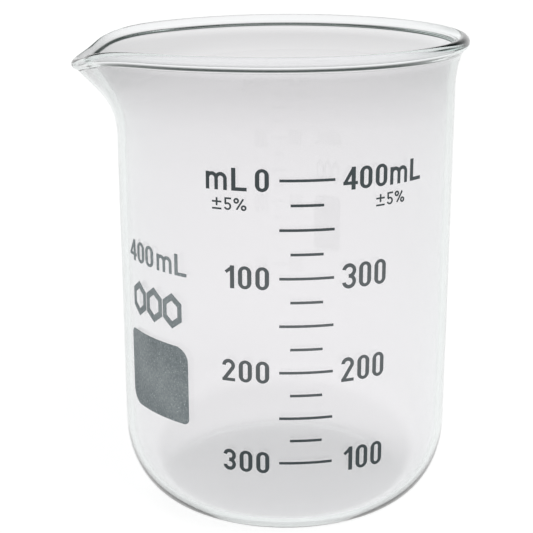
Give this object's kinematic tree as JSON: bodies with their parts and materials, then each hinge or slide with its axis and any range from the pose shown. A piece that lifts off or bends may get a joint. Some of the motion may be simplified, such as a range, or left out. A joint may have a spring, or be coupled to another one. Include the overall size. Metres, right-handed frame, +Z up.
{
  "type": "low-form beaker",
  "caption": "Low-form glass beaker with a rolled rim bead, a pulled pouring spout, a fired enamel volume scale and a marking spot.",
  "frame": {"origin": "centre of the flat underside that the beaker stands on", "axes": "+Z up along the axis of the vessel, spout towards -X, scale facing close to -Y"},
  "size_m": [0.0932, 0.086, 0.1128],
  "materials": {
    "borosilicate_glass": "clear fire-polished borosilicate glass, faintly green at the rim and edges",
    "fired_enamel": "dark slate grey fired ceramic enamel, slightly mottled, satin",
    "spot_enamel": "mid grey fired ceramic enamel, matt and faintly speckled so that pencil takes on it"
  },
  "bodies": {
    "root": {"glass_body": "borosilicate_glass", "graduation_400": "fired_enamel", "graduation_375": "fired_enamel", "graduation_350": "fired_enamel", "graduation_325": "fired_enamel", "graduation_300": "fired_enamel", "graduation_275": "fired_enamel", "graduation_250": "fired_enamel", "graduation_225": "fired_enamel", "graduation_200": "fired_enamel", "graduation_175": "fired_enamel", "graduation_150": "fired_enamel", "graduation_125": "fired_enamel", "graduation_100": "fired_enamel", "numeral_400_right": "fired_enamel", "numeral_300_right": "fired_enamel", "numeral_200_right": "fired_enamel", "numeral_100_right": "fired_enamel", "numeral_0_left": "fired_enamel", "numeral_100_left": "fired_enamel", "numeral_200_left": "fired_enamel", "numeral_300_left": "fired_enamel", "unit_right": "fired_enamel", "unit_left": "fired_enamel", "tolerance_right": "fired_enamel", "tolerance_left": "fired_enamel", "capacity_label": "spot_enamel", "ring_emblem": "spot_enamel", "marking_spot": "spot_enamel"}
  },
  "joints": []
}
